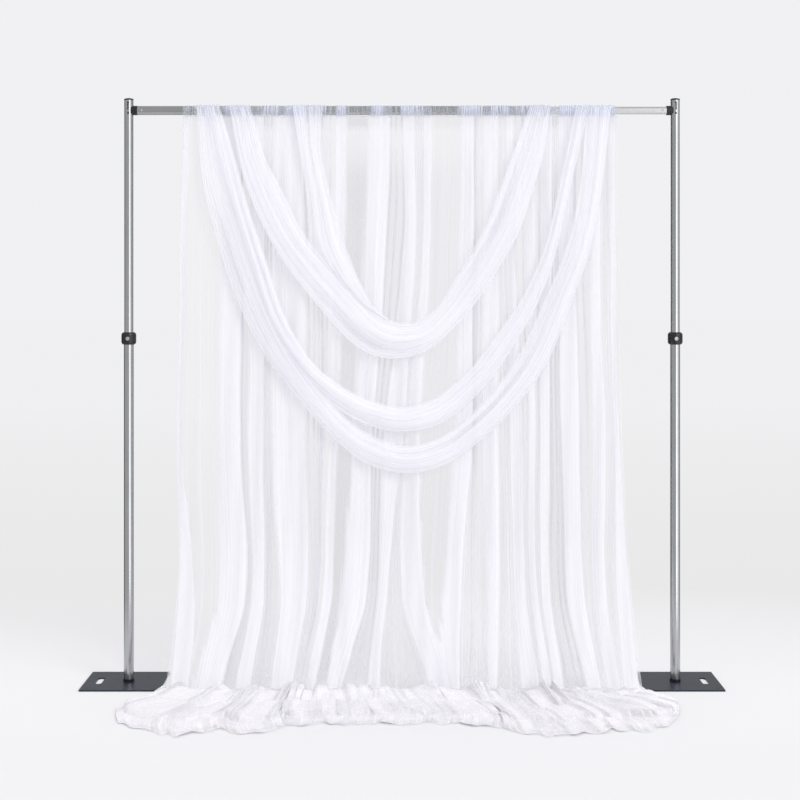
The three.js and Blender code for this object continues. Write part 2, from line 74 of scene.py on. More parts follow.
# %% [markdown]
# A finish is a small graph of shader nodes. Written node by node it's hard to read, so one class
# stands for a wire in the graph: adding or multiplying two wires makes the Math node for it.

# %% A wire that does sums
class Wire:
    def __init__(self, finish, socket):
        self.finish, self.socket = finish, socket

    def sum(self, operation, other, swap=False):
        first, second = (other, self) if swap else (self, other)
        return self.finish.node("Math", {"operation": operation}, {0: first, 1: second})

    def __add__(self, other): return self.sum("ADD", other)
    def __radd__(self, other): return self.sum("ADD", other, True)
    def __sub__(self, other): return self.sum("SUBTRACT", other)
    def __rsub__(self, other): return self.sum("SUBTRACT", other, True)
    def __mul__(self, other): return self.sum("MULTIPLY", other)
    def __rmul__(self, other): return self.sum("MULTIPLY", other, True)
    def larger(self, other): return self.sum("MAXIMUM", other)


# %% A graph of nodes, and the finish of a material
class Graph:
    def __init__(self, tree):
        self.tree = tree

    def node(self, kind, settings=None, inputs=None, out=0):
        made = self.tree.nodes.new("ShaderNode" + kind)
        for name, value in (settings or {}).items():
            setattr(made, name, value)
        for name, value in (inputs or {}).items():
            if isinstance(value, Wire):
                self.tree.links.new(value.socket, made.inputs[name])
            else:
                made.inputs[name].default_value = value
        return Wire(self, made.outputs[out])

    def show(self, wire):
        end = next(n for n in self.tree.nodes if n.type in ("OUTPUT_MATERIAL", "OUTPUT_WORLD"))
        self.tree.links.new(wire.socket, end.inputs["Surface"])

    def place(self, source="Object"):
        return self.node("TexCoord", out=source)

    def part(self, place, axis):
        return self.node("SeparateXYZ", {}, {0: place}, axis)

    def stretched(self, place, scale):
        return self.node("VectorMath", {"operation": "MULTIPLY"}, {0: place, 1: scale})

    def noise(self, place, scale, detail=2.0, roughness=0.5):
        return self.node("TexNoise", {}, {
            "Vector": place, "Scale": scale, "Detail": detail, "Roughness": roughness}, "Fac")

    def between(self, wire, low, high, to_low=0.0, to_high=1.0):
        return self.node("MapRange", {"clamp": True}, {
            0: wire, 1: low, 2: high, 3: to_low, 4: to_high})

    def tint(self, share, dark, light):
        return self.node("Mix", {"data_type": "RGBA"}, {0: share, 6: dark, 7: light}, 2)


class Finish(Graph):
    def __init__(self, name, **fixed):
        self.material = bpy.data.materials.new(name)
        self.material.use_nodes = True
        super().__init__(self.material.node_tree)
        self.shader = self.tree.nodes["Principled BSDF"]
        self.surface = Wire(self, self.shader.outputs[0])
        for socket, value in fixed.items():
            self.shader.inputs[socket.replace("_", " ")].default_value = value

    def feed(self, socket, wire):
        self.tree.links.new(wire.socket, self.shader.inputs[socket])

    def bump(self, height, strength, distance):
        self.feed("Normal", self.node("Bump", {}, {
            "Strength": strength, "Distance": distance, "Height": height}))


# %% [markdown]
# The poles are drawn aluminium tube with a clear anodised skin. Drawing leaves very fine lines along
# the tube, which stretch the reflections across them, so the grain is a noise pulled out long on the
# tube's own axis. Uprights and crossbar get the same finish turned two ways, but the crossbar's outer
# tube gets a darker copy of the silver and its inner tube a lighter one. That difference is painted
# shade and painted reflection, not a different metal.

# %% Silver tube
def silver_tube(name, grain, dark, light):
    finish = Finish(name, Metallic=1.0)
    place = finish.place()
    lines = finish.noise(finish.stretched(place, grain), 1.0, 3.0, 0.6)
    clouds = finish.noise(place, 7.0, 3.0)
    rubs = finish.between(finish.noise(place, 38.0, 4.0), 0.58, 0.75)
    finish.feed("Base Color", finish.tint(
        finish.between(lines + clouds * 0.4, 0.4, 1.0), dark, light))
    finish.feed("Roughness", 0.13 + lines * 0.09 + rubs * 0.08)
    finish.bump(lines, 0.25, 0.0002)
    return finish.material


grain_up, grain_across = (900.0, 900.0, 9.0), (9.0, 900.0, 900.0)
upright_silver = silver_tube(
    "upright_silver", grain_up, (0.42, 0.425, 0.435, 1), (0.54, 0.545, 0.55, 1))
# painted shade and painted reflection: the crossbar's outer tube is a darker copy of the silver and
# its inner tube a lighter one
outer_silver_painted_shade = silver_tube(
    "outer_bar_silver_painted_shade", grain_across, (0.40, 0.405, 0.41, 1), (0.51, 0.515, 0.52, 1))
inner_silver_painted_reflection = silver_tube(
    "inner_bar_silver_painted_reflection", grain_across, (0.64, 0.645, 0.65, 1), (0.80, 0.805, 0.81, 1))
print("silver finishes made")

# %% [markdown]
# Small fittings are zinc plated: a little warmer and more mottled than the tube. The plates are
# powder coated steel, and powder that melts in the oven keeps a fine orange-peel surface. The
# collars, caps and plugs are moulded black plastic with a finer grain.

# %% Fittings, plates and plastic
def zinc_plate():
    finish = Finish("zinc_fitting", Metallic=1.0)
    place = finish.place()
    spangle = finish.noise(place, 420.0, 3.0)
    finish.feed("Base Color", finish.tint(spangle, (0.46, 0.45, 0.43, 1), (0.68, 0.67, 0.65, 1)))
    finish.feed("Roughness", 0.24 + spangle * 0.2)
    finish.bump(spangle, 0.2, 0.0002)
    return finish.material


def coated_plate():
    finish = Finish("powder_plate", IOR=1.45, Specular_IOR_Level=0.22)
    place = finish.place()
    peel = finish.noise(place, 900.0, 2.0)
    rubbed = finish.noise(finish.stretched(place, (18.0, 60.0, 20.0)), 1.0, 5.0, 0.65)
    scuffs = finish.between(rubbed, 0.56, 0.78)
    dust = finish.noise(place, 9.0, 4.0)
    finish.feed("Base Color", finish.tint(
        scuffs * 0.5 + dust * 0.35, (0.014, 0.020, 0.031, 1), (0.046, 0.060, 0.080, 1)))
    finish.feed("Roughness", 0.30 + peel * 0.1 + scuffs * 0.16)
    finish.bump(peel, 0.18, 0.0003)
    return finish.material


def black_plastic():
    finish = Finish("moulded_black", IOR=1.46)
    place = finish.place()
    grain = finish.noise(place, 1400.0, 2.0)
    sheen = finish.noise(place, 30.0, 3.0)
    finish.feed("Base Color", finish.tint(sheen, (0.006, 0.006, 0.008, 1), (0.016, 0.016, 0.019, 1)))
    finish.feed("Roughness", 0.26 + grain * 0.12 + sheen * 0.1)
    finish.bump(grain, 0.22, 0.0002)
    return finish.material


zinc, plate_black, plastic_black = zinc_plate(), coated_plate(), black_plastic()

# %% [markdown]
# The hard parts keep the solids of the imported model. Each one only has the material in its slots
# changed, by the kind of part its name says.

# %% Dress the hard parts
def finish_of(node):
    if node.startswith("bar_") and node.endswith("_tube"):
        return outer_silver_painted_shade if "outer" in node else inner_silver_painted_reflection
    if node.endswith("_tube"):
        return upright_silver
    if node.endswith("base_plate"):
        return plate_black
    if any(word in node for word in ("screw", "spigot", "blade", "rivet")):
        return zinc
    return plastic_black


cloth_nodes = {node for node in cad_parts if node.startswith(("curtain_", "train_", "swag_"))}
for node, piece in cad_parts.items():
    if node not in cloth_nodes:
        slots = piece.data.materials
        if not slots:
            slots.append(finish_of(node))
        for place in range(len(slots)):
            slots[place] = finish_of(node)
print("hard parts dressed:", len(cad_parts) - len(cloth_nodes))

# %% [markdown]
# Tulle is a net of fine thread. From six metres no mesh shows: one layer is a pale grey haze, and
# where folds double over, the threads close up and it turns white. That grey is painted shade: the
# thread colour runs from a greyer colour where the net is thin to white where it is bunched, and in a
# gap that stands open it is painted darker still, for the shade of the room behind. A thread scatters
# light forwards as much as back, so half of the surface is a Translucent shader, which keeps the folds
# bright on both sides. A Transparent shader stands for the holes. How much thread there is runs in
# streaks down the cloth, because the net is pulled that way. Four values stored with each point of the
# mesh steer it: "gather" says where the net is bunched, the next one where a gap stands open and gets
# that painted shade, "pocket" where it is gathered tight round the bar, and "faded" where an edge
# thins out to nothing.

# %% Tulle
pocket_blue = (0.86, 0.885, 0.975, 1)


def tulle(name, sheer, dense, veil_painted_shade, gap, thick, glow, creases=0.0):
    finish = Finish(name, Roughness=0.92, Specular_IOR_Level=0.05)
    along = finish.place("UV")
    gather, open_gap, pocket, faded = (
        finish.node("Attribute", {"attribute_name": value}, out="Fac")
        for value in ("gather", "open_gap", "pocket", "faded"))

    def streaks(across, down, detail=2.0, roughness=0.5):
        return finish.noise(finish.stretched(along, (across, down, 1.0)), 1.0, detail, roughness)

    fine, broad = streaks(125.0, 0.22, roughness=0.55), streaks(23.0, 0.2, roughness=0.6)
    threads = finish.between(fine * 0.4 + broad * 0.6, 0.34, 0.66)
    lines = finish.between(streaks(58.0, 0.11, detail=1.0), 0.60, 0.68)
    density = gather * 0.7 + threads * 0.3 + lines * 0.22 * (1 - open_gap)
    if creases:
        for scale in ((24.0, 10.0, 26.0), (70.0, 27.0, 70.0)):
            wave = finish.noise(finish.stretched(finish.place(), scale), 1.0, 3.0, 0.55)
            ridge = finish.between((wave - 0.5).larger(0.5 - wave), 0.022, 0.0)
            density = density + (ridge - 0.3) * creases
    crinkle = finish.between(streaks(210.0, 9.0, roughness=0.6), 0.45, 0.58)
    bunched = crinkle * (0.35 + gather * 0.65) + gather * 0.3
    # painted shade: thin net is coloured greyer than bunched net, and darker still in open gaps
    thin_painted_shade = finish.tint(open_gap * open_gap, veil_painted_shade, gap)
    color = finish.tint(finish.between(density, 0.05, 0.85) * (1 - pocket) + pocket, thin_painted_shade, thick)
    color = finish.tint(pocket, color, pocket_blue)
    finish.feed("Base Color", color)
    finish.bump(fine, 0.15, 0.002)
    through = finish.node("BsdfTranslucent", {}, {"Color": color})
    thread = finish.node("MixShader", {}, {0: glow, 1: finish.surface, 2: through})
    cover = finish.between(density, 0.0, 1.0, sheer, dense) * (1 - pocket) + (
        finish.between(bunched, 0.0, 1.1, 0.04, 0.88) * pocket)
    holes = finish.node("BsdfTransparent")
    finish.show(finish.node("MixShader", {}, {0: cover * (1 - faded), 1: holes, 2: thread}))
    return finish.material


# painted shade: each cloth's thin and gap colours are greyer and darker copies of its white
hanging_tulle = tulle(
    "hanging_tulle", sheer=0.28, dense=0.72, veil_painted_shade=(0.845, 0.84, 0.875, 1),
    gap=(0.50, 0.475, 0.56, 1), thick=(0.965, 0.96, 0.985, 1), glow=0.4)
swag_tulle = tulle(
    "swag_tulle", sheer=0.22, dense=0.77, veil_painted_shade=(0.85, 0.845, 0.895, 1),
    gap=(0.6, 0.6, 0.65, 1), thick=(0.968, 0.960, 0.995, 1), glow=0.2)
floor_tulle = tulle(
    "floor_tulle", sheer=0.5, dense=0.95, veil_painted_shade=(0.965, 0.953, 1.0, 1),
    gap=(0.7, 0.68, 0.78, 1), thick=(0.995, 0.98, 1.0, 1), glow=0.1, creases=0.22)
print("cloth finishes made")

# %% [markdown]
# Every length of cloth is a grid of points: rows go down the cloth and columns go across it. One
# helper turns such a grid into a mesh, with the distance across and down the cloth in metres as
# its UV, so the threads follow every fold, and with the finish's values at each point. It can
# also keep only some blocks of the rows. Two pieces cut from one grid that way meet without a
# step, which is how the part round the bar comes apart from the part that hangs. Another helper
# reads a table of measures along a smooth curve.

# %% Cloth from a grid of points
def smooth_table(rows, at):
    rows, at = np.asarray(rows, float), np.asarray(at, float)
    last = len(rows) - 1
    n = np.clip(at.astype(int), 0, last - 1)
    t = (at - n)[..., None]
    before, here = rows[np.maximum(n - 1, 0)], rows[n]
    there, after = rows[n + 1], rows[np.minimum(n + 2, last)]
    return 0.5 * (2 * here + (there - before) * t
                  + (2 * before - 5 * here + 4 * there - after) * t ** 2
                  + (3 * here - before - 3 * there + after) * t ** 3)


def cloth(name, points, finish, slot, blocks=None, **values):
    rows, columns = points.shape[:2]
    kept, cells = [], []
    for first, last in blocks or [(0, rows - 1)]:
        cells += [len(kept) + n for n in range(last - first)]
        kept += range(first, last + 1)
    step_across = np.linalg.norm(np.diff(points, axis=1), axis=2)
    step_down = np.linalg.norm(np.diff(points, axis=0), axis=2)
    across = np.concatenate([[0], np.cumsum(np.median(step_across, axis=0))])
    down = np.concatenate([[0], np.cumsum(np.median(step_down, axis=1))])
    a = (np.array(cells)[:, None] * columns + np.arange(columns - 1)).ravel()
    faces = np.stack([a, a + 1, a + columns + 1, a + columns], axis=1)
    mesh = bpy.data.meshes.new(name)
    mesh.from_pydata(points[kept].reshape(-1, 3).tolist(), [], faces.tolist())
    spots = np.stack(np.broadcast_arrays(across[None, :], down[kept, None]), axis=2).reshape(-1, 2)
    uv = mesh.uv_layers.new(name="cloth")
    uv.data.foreach_set("uv", spots[faces.ravel()].astype(np.float32).ravel())
    for value, grid in values.items():
        mesh.attributes.new(value, "FLOAT", "POINT").data.foreach_set(
            "value", np.clip(np.array(grid)[kept], 0, 1).astype(np.float32).ravel())
    mesh.polygons.foreach_set("use_smooth", [True] * len(faces))
    mesh.materials.append(finish)
    piece = bpy.data.objects.new(name, mesh)
    bpy.context.scene.collection.objects.link(piece)
    area = sum(face.area for face in mesh.polygons)
    print(f"{name}: {len(faces)} faces, {area:.2f} square metres, "
          f"whole grid {across[-1]:.2f} by {down[-1]:.2f} m")
    return piece


def ease(t):
    t = np.clip(t, 0, 1)
    return t * t * (3 - 2 * t)


def mix(a, b, t):
    return a + (b - a) * t


# %% [markdown]
# Cloth is never quite even. A grid of fixed random numbers, read smoothly between its points, gives
# soft irregular waves that come out the same on every run.

# %% Soft irregular waves
wave_grid = 64


def lattice(x, y, seed):
    fixed = np.random.default_rng(seed).random((wave_grid, wave_grid))
    return fixed[x % wave_grid, y % wave_grid]


def rolling(x, y, seed):
    nx, ny = np.floor(x).astype(int), np.floor(y).astype(int)
    tx, ty = ease(x - nx), ease(y - ny)
    low = mix(lattice(nx, ny, seed), lattice(nx + 1, ny, seed), tx)
    high = mix(lattice(nx, ny + 1, seed), lattice(nx + 1, ny + 1, seed), tx)
    return mix(low, high, ty)


print("waves at two places", lattice(np.array([3, 4]), np.array([5, 6]), 1))

# %% [markdown]
# The drape is three widths side by side. Each is gathered on the bar and then hangs in knife
# folds: the cloth runs on past a fold, doubles back and goes on again, which makes three layers
# in the fold and one beside it. The tables give the two edges of each fold, in metres from the
# middle, at five heights, so that a fold can lean, widen or pinch on its way down as it really
# does. A plain wave would make the cloth evenly grey.

# %% Where the folds are
fold_heights = [2.355, 1.81, 0.973, 0.355, 0.038]
folds_of = {
    "left": [
        [-0.913, -0.888, -0.930, -0.905, -0.942, -0.921, -0.928, -0.862, -0.928, -0.856],
        [-0.754, -0.678, -0.758, -0.678, -0.766, -0.674, -0.762, -0.650, -0.848, -0.728],
        [-0.637, -0.586, -0.637, -0.582, -0.641, -0.582, -0.626, -0.576, -0.664, -0.608],
        [-0.528, -0.427, -0.536, -0.410, -0.544, -0.402, -0.505, -0.394, -0.528, -0.440],
    ],
    "centre": [
        [-0.276, -0.235, -0.285, -0.243, -0.306, -0.272, -0.331, -0.294, -0.384, -0.348],
        [-0.134, -0.050, -0.159, -0.067, -0.205, -0.126, -0.253, -0.149, -0.304, -0.244],
        [0.004, 0.050, 0.004, 0.054, -0.080, 0.000, -0.104, -0.066, -0.136, -0.088],
        [0.092, 0.126, 0.084, 0.117, 0.013, 0.071, 0.000, 0.099, 0.112, 0.196],
        [0.247, 0.302, 0.243, 0.297, 0.214, 0.293, 0.170, 0.244, 0.140, 0.232],
    ],
    "right": [
        [0.343, 0.402, 0.343, 0.402, 0.339, 0.402, 0.352, 0.406, 0.344, 0.384],
        [0.436, 0.469, 0.440, 0.473, 0.457, 0.507, 0.468, 0.510, 0.480, 0.552],
        [0.519, 0.553, 0.524, 0.557, 0.532, 0.557, 0.534, 0.563, 0.568, 0.600],
        [0.582, 0.628, 0.582, 0.624, 0.578, 0.616, 0.584, 0.617, 0.608, 0.648],
        [0.653, 0.720, 0.653, 0.720, 0.670, 0.745, 0.688, 0.754, 0.744, 0.800],
        [0.771, 0.829, 0.779, 0.829, 0.800, 0.850, 0.795, 0.849, 0.824, 0.872],
        [0.867, 0.892, 0.871, 0.896, 0.888, 0.913, 0.895, 0.949, 0.888, 0.952],
    ],
}
edges_of = {
    "left": [
        [-0.916, -0.315], [-0.932, -0.320], [-0.944, -0.325], [-0.934, -0.345], [-0.945, -0.400]],
    "centre": [
        [-0.320, 0.325], [-0.330, 0.320], [-0.345, 0.312], [-0.365, 0.290], [-0.420, 0.290]],
    "right": [[0.300, 0.905], [0.298, 0.908], [0.292, 0.925], [0.280, 0.955], [0.262, 0.966]],
}
# the stretches of the bar where the gathers lie close and hide it
close_gathers = [
    (-0.871, -0.787), (-0.733, -0.712), (-0.678, -0.641), (-0.586, -0.519), (-0.486, -0.385),
    (-0.360, -0.318), (-0.272, -0.226), (-0.117, -0.080), (-0.004, 0.092), (0.230, 0.343),
    (0.373, 0.444), (0.477, 0.528), (0.557, 0.582), (0.662, 0.880),
]

# how far each gap beside the folds stands open, left to right; an open gap gets painted shade in the
# cloth's colour for the darker room behind
open_gaps = {
    "left": [0.0, 0.0, 0.8, 0.6, 0.5],
    "centre": [0.2, 1.0, 0.7, 0.5, 0.6, 0.2],
    "right": [0.3, 0.4, 0.5, 0.6, 0.7, 0.4, 0.3, 0.0],
}

# %% [markdown]
# Between the main folds the net is pulled into small tucks, which show as fine upright lines. They
# are worked out and not listed: a gap that is half open has most of them.

# %% Small tucks between the folds
tuck_spacing, tuck_half_width, tuck_strength = 0.015, 0.0042, 0.45


def fold_plan(side):
    edges = np.array(edges_of[side])
    main = [np.reshape(fold, (-1, 2)) for fold in folds_of[side]]
    starts = [edges[:, 0]] + [band[:, 1] for band in main]
    stops = [band[:, 0] for band in main] + [edges[:, 1]]
    plan = []
    for n, (start, stop) in enumerate(zip(starts, stops)):
        room = stop - start
        half_open = 4 * open_gaps[side][n] * (1 - open_gaps[side][n])
        count = int(room.mean() * half_open / tuck_spacing) if room.min() > 0.004 else 0
        for m in range(count):
            middle = start + room * (m + 0.5 + 0.32 * math.sin(5.1 * m + 2.3 * n)) / count
            half = np.minimum(room * 0.26 / count, tuck_half_width)
            plan.append((np.stack([middle - half, middle + half], axis=1), tuck_strength))
        if n < len(main):
            plan.append((main[n], 1.0))
    return plan, starts, stops


plans = {side: fold_plan(side) for side in folds_of}
print("folds and tucks", {side: len(plan[0]) for side, plan in plans.items()})

# %% [markdown]
# One row of the cloth is a path that runs on, doubles back at each fold and goes on again. It is
# worked out in three steps: the places where it turns, the smooth stretches between them, and the
# values that tell the finish where the net is bunched or stands open.

# %% The path of the cloth across one row
bar_height = 2.394
seam_height = bar_height - 0.060
hem_height = 0.048
fold_depth = 0.008
knee_height, foot_height = 0.64, fold_heights[-1]
foot_forward = 0.29
edge_stands = 0.1
edge_softness = 0.04


def forward_at(z):
    bent = np.clip((knee_height - z) / (knee_height - foot_height), 0, 1)
    return foot_forward * bent ** 2


def height_share(z):
    return np.interp(-z, [-h for h in fold_heights], range(len(fold_heights)))


def inside(across, low, high, soft):
    return ease((across - low) / soft + 0.5) * ease((high - across) / soft + 0.5)


def turning_points(plan, bands, edges):
    turns, heights, counts = [edges[0]], [edge_stands], []
    for (low, high), (_, strength) in zip(bands, plan):
        stands = min(1.0, (high - low) / 0.05) * strength ** 2
        turns += [high, low]
        heights += [-stands, 0.35 * stands]
        counts += [22, 20] if strength == 1.0 else [12, 7]
    return turns + [edges[1]], heights + [edge_stands], counts + [14]


def stretch_from(turns, heights, n, count):
    doubles_back = n % 2 == 1
    t = np.linspace(0, 1, count, endpoint=False)
    depth = mix(heights[n], heights[n + 1], ease(t / (1.0 if doubles_back else 0.75)))
    if n > 0 and not doubles_back:
        depth = depth + 0.55 * min(1, 3 * heights[n]) * np.sin(np.pi * np.clip(t / 0.5, 0, 1))
    across = mix(turns[n], turns[n + 1], (1 - np.cos(np.pi * t)) / 2)
    return across, depth, (1 - np.sin(np.pi * t)) ** 1.6


# the mask for the painted shade in open gaps: how far the net stands open at each point
def open_gap_shading(side, across, at):
    _, starts, stops = plans[side]
    opened = 0 * across
    for share, start, stop in zip(open_gaps[side], starts, stops):
        low, high = (smooth_table(line[:, None], at)[0][0] for line in (start, stop))
        if high > low:
            opened = opened + share * inside(across, low, high, 0.012)
    return np.clip(opened, 0, 1)


def folded_row(side, z):
    plan, at = plans[side][0], height_share(np.array([z]))
    edges = smooth_table(edges_of[side], at)[0]
    bands = [smooth_table(table, at)[0] for table, _ in plan]
    turns, heights, counts = turning_points(plan, bands, edges)
    stretches = [stretch_from(turns, heights, n, count) for n, count in enumerate(counts)]
    across, deep, rim = (
        np.append(np.concatenate(column), end)
        for column, end in zip(zip(*stretches), (turns[-1], edge_stands, 1.0)))
    bunched = sum(inside(across, low, high, 0.007 if strength == 1.0 else 0.003) * strength
                  for (low, high), (_, strength) in zip(bands, plan))
    deep = deep * ease((across - edges[0]) / edge_softness) * ease((edges[1] - across) / edge_softness)
    gather = np.maximum(np.clip(bunched, 0, 1) * 0.8, rim * 0.75)
    return across, deep, gather, open_gap_shading(side, across, at)


# %% [markdown]
# At the top the cloth goes round the bar: up behind it, over, and down in front, where a line of
# stitching closes the pocket. Below that it hangs under the bar's own centre, and from knee height it
# is drawn forward to where the train lies. The pocket and the hanging part are two pieces that meet at
# the seam, so that the hanging part could be shortened on its own when the uprights come down.

# %% The pocket and the rows below it
pocket_path = [
    (0.003, -0.0265), (0.012, -0.0200), (0.0185, -0.011), (0.0212, -0.001), (0.0190, 0.010),
    (0.0120, 0.0178), (0.002, 0.0213), (-0.009, 0.0194), (-0.0180, 0.0114), (-0.0213, 0.0),
    (-0.0190, -0.011), (-0.0145, -0.019), (-0.010, -0.034), (-0.008, -0.060),
]
pocket_rows = 27
row_heights = np.concatenate([np.linspace(2.30, 0.70, 34), np.linspace(0.66, hem_height, 26)])


def pocket_row(side, depth, up):
    across, deep, bunched, opened = folded_row(side, min(bar_height + up, fold_heights[0]))
    ripples = 0.0005 * np.sin(across * 520) + 0.0003 * np.sin(across * 1310 + 1)
    thick = 0.0008 * deep + ripples
    away = math.hypot(depth, up)
    round_bar = ease((up + 0.034) / 0.012)
    points = np.stack([
        across,
        pole_line + depth + mix(deep * 0.002, thick * depth / away, round_bar),
        bar_height + up + thick * up / away * round_bar], axis=1)
    close = sum(inside(across, low, high, 0.010) for low, high in close_gathers)
    pocket = ease((up + 0.027) / 0.008)
    gather = mix(bunched, np.clip(close, 0, 1), pocket)
    return points, gather, opened * (1 - pocket), 0 * across + pocket, 0 * across


def hanging_row(side, z):
    across, deep, bunched, opened = folded_row(side, z)
    hang = ease((2.32 - z) / 0.25)
    sway = 0.005 * np.sin(across * 41 + z * 2.1) + 0.0035 * np.sin(across * 97 - z * 3.3 + 2)
    wander = 0.0022 * np.sin(z * 7 + across * 23) + 0.0008 * np.sin(z * 17 + across * 61)
    under_bar = pole_line - forward_at(z) + mix(-0.008, 0.0, hang)
    points = np.stack([
        across + wander * hang,
        under_bar + mix(0.002, fold_depth, hang) * deep + sway * hang,
        np.full_like(across, z)], axis=1)
    soft_hem = 0.055 + 0.045 * rolling(across * 17, 0 * across, 61)
    faded = 0.6 * (1 - ease((z - 0.046) / soft_hem)) * (1 - bunched)
    # the painted shade in open gaps is weaker near the bar
    return points, bunched + 0.12 * (1 - hang), opened * mix(0.3, 1, hang), 0 * across, faded


def curtain(side):
    path = smooth_table(pocket_path, np.linspace(0, len(pocket_path) - 1, pocket_rows))
    rows = [pocket_row(side, depth, up) for depth, up in path]
    rows += [hanging_row(side, z) for z in row_heights]
    points, gathers, gap_shades, pockets, fades = zip(*rows)
    seam_row = pocket_rows - 1
    blocks = {f"tulle_{side}": (seam_row, len(rows) - 1), f"header_{side}": (0, seam_row)}
    pieces = [cloth(name, np.array(points), hanging_tulle, "tulle", blocks=[block],
                    gather=gathers, open_gap=gap_shades, pocket=pockets, faded=fades)
              for name, block in blocks.items()]
    for piece in pieces:
        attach(piece, "drape")
        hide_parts(f"curtain_{side}")
    return pieces


widths = {side: curtain(side) for side in ("left", "centre", "right")}

# %% [markdown]
# In front of its hem line each width lies on the floor as a train. Two layers make it: a puddle
# that reaches the front edge, and a shorter ruffle on top. Both start from the same path across
# as the folds above and open out towards the front, in crumples drawn out from front to back.
# The puddle starts behind the hem, and rises into a crest in front of it that hides the join.

# %% Crumpled ground
front_edge = [
    (-1.081, 0.405), (-1.104, 0.462), (-1.064, 0.648), (-0.927, 0.753), (-0.835, 0.810),
    (-0.686, 0.721), (-0.618, 0.769), (-0.515, 0.794), (-0.440, 0.680), (-0.320, 0.648),
    (-0.206, 0.680), (-0.069, 0.656), (0.057, 0.648), (0.183, 0.648), (0.297, 0.664),
    (0.383, 0.689), (0.458, 0.794), (0.572, 0.810), (0.686, 0.778), (0.801, 0.745),
    (0.927, 0.729), (1.030, 0.632), (1.081, 0.486), (1.070, 0.389),
]


def crumple(x, y, seed):
    bend_x, bend_y = rolling(x * 5, y * 5, seed) - 0.5, rolling(x * 5, y * 5, seed + 1) - 0.5
    total = 0
    for size, share in ((9, 0.55), (19, 0.3), (41, 0.15)):
        wave = rolling((x + bend_x * 0.12) * size, (y + bend_y * 0.12) * size * 0.45, seed + size)
        total = total + share * (1 - np.abs(2 * wave - 1)) ** 1.3
    return total


train_rows = 110
hem_reach = 0.25
train_half_width, end_softness = 1.12, 0.26


def floor_sheet(side, first, last, seed, starts, stops):
    on_top = starts > 0
    across, deep, bunched, _ = folded_row(side, hem_height)
    in_fold = np.clip(bunched * 1.25, 0, 1)
    spread = (across - across[0]) / (across[-1] - across[0])
    progress = mix(np.linspace(0, 1, len(across)), spread, 0.85)
    edge_x, edge_reach = smooth_table(front_edge[first:last + 1], progress * (last - first)).T
    still = 0 * progress
    points_of_edge = 1 - np.abs(2 * rolling(edge_x * 11 + 40, still + 2, seed + 11) - 1)
    jag = 0.6 * points_of_edge + 0.4 * rolling(edge_x * 37 + 60, still + 2, seed + 12)
    swirl = rolling(edge_x * 4 + 9, still, seed + 5) - 0.5
    mass = mix(0.5, 1.3, rolling(edge_x * 5 + 20, still + 3, seed + 7))
    climb = mix(0.3, 1.0, rolling(across * 9, still + 1, seed + 13)) * (1 - 0.45 * in_fold)
    points, gathers, fades = [], [], []
    for w in np.linspace(starts, stops, train_rows):
        flow = 1 - ease((w - 0.40) / 0.65)
        x = mix(across, edge_x, ease(w * 1.15)) + 0.10 * swirl * np.sin(np.pi * w)
        ends = ease((train_half_width - abs(x)) / end_softness)
        under_hem = hem_reach - deep * fold_depth * (1 - ease(w / 0.1))
        reach = mix(under_hem, edge_reach * (1.02 - 0.10 * jag), w)
        lumps = crumple(x + 3, reach + 5, seed)
        puffs = rolling(x * 11 + 50, reach * 6.5 + 7, seed + 2)
        runs = rolling(progress * 40 + 2 * swirl * w, still + w * 3, seed + 3)

        z = mix(0.044, 0.018, ease(w / 0.12)) * (1 - 0.8 * w)
        smooth = 1 - 0.7 * in_fold * flow
        heaps = 0.040 * (puffs - 0.12) + 0.012 * (lumps - 0.2)
        z = z + (1 - w ** 2.5) * smooth * mass * ends * heaps * ease(w / 0.14)
        z = z + 0.004 * (runs - 0.5) + 0.010 * bunched * flow * ease(w / 0.2)
        if on_top:
            z = (z + 0.008) * ease((stops - w) / 0.10 + 0.12) + 0.006 * jag
        else:
            z = z + ends * 0.062 * climb * ease(w / 0.16) * ease((0.50 - w) / 0.30)
        lifted = 0.003 + 0.006 * rolling(progress * 26, still + 5, seed + 9) * w
        points.append(np.stack([x, pole_line - reach, np.maximum(z, lifted)], axis=1))

        strands = np.clip(0.26 + 0.42 * lumps + 0.30 * puffs + 0.50 * (runs - 0.4), 0, 1)
        gather = mix(strands, np.maximum(bunched, strands * 0.6 * ease(w / 0.15)), flow)
        rim = ease((abs(w - (starts + stops) / 2) * 2 / (stops - starts) - 0.97) / 0.03)
        gathers.append(gather + 0.4 * rim * (w > 0.1) * (not on_top))
        tip = (0.15 + 0.5 * runs) * ease((w - stops + 0.14) / 0.14)
        wisp = ease((starts + 0.08 - w) / 0.08) if on_top else 0.55 * (1 - ease((w - 0.05) / 0.10))
        fades.append(np.maximum(tip, wisp) + 0 * z)
    return points, gathers, fades


def train(side, first, last, seed):
    pieces = []
    for name, more, starts, stops in (("puddle", 0, 0.0, 1.0), ("ruffle", 100, 0.18, 0.78)):
        points, gathers, fades = floor_sheet(side, first, last, seed + more, starts, stops)
        piece = cloth(f"{name}_{side}", np.array(points), floor_tulle, "tulle",
                      gather=gathers, faded=fades)
        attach(piece, "train")
        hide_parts(f"train_{side}")
        pieces.append(piece)
    return pieces


puddles = {
    "left": train("left", 0, 8, 11),
    "centre": train("centre", 8, 15, 23),
    "right": train("right", 15, 23, 37),
}

# %% [markdown]
# The swags are long scarves of the same net, laid over the bar and let hang in front. A hanging
# scarf is bunched into pleats that run along it, so each swag is a strip between an outer and an
# inner line, folded over along one edge, with fine pleats. The fan is a short arm that joins the
# upper swag and fades out into it. The tables give each strip's outer x and z, then inner x and z.

